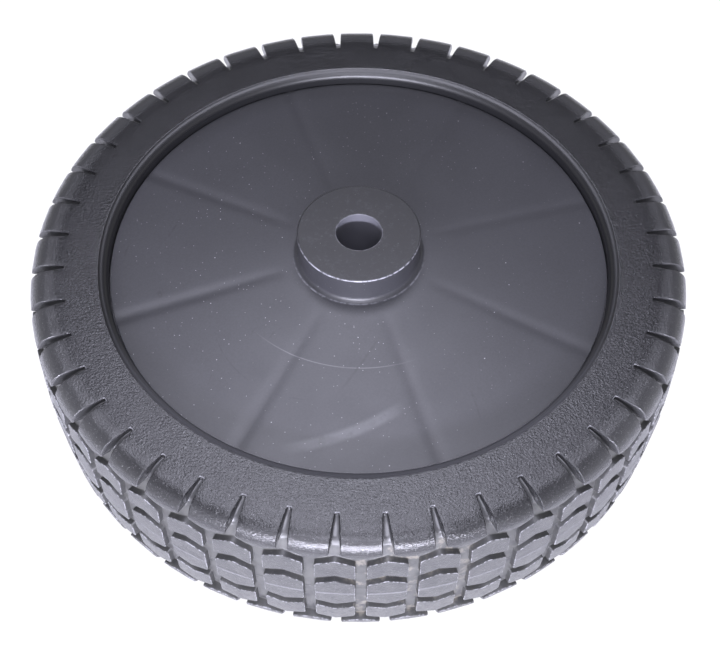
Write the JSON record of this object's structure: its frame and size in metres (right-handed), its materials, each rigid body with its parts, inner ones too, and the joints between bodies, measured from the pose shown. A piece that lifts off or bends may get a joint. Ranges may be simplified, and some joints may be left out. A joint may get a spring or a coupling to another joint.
{
  "type": "mower wheel",
  "caption": "Plain-bore mower wheel: a ribbed moulded plastic disc with a proud hub, gripped by a solid block-tread tyre with slotted shoulders.",
  "frame": {"origin": "on the axle's axis, at the middle plane of the tread", "axes": "+Z along the axle towards the closed front face and the proud hub end, +X along one back rib; the wheel lies flat on its back side"},
  "size_m": [0.18, 0.18, 0.0543],
  "materials": {
    "wheel_disc": "satin",
    "tyre": "fine grain, satin"
  },
  "bodies": {
    "root": {"wheel_disc": "wheel_disc", "tyre": "tyre"}
  },
  "joints": []
}
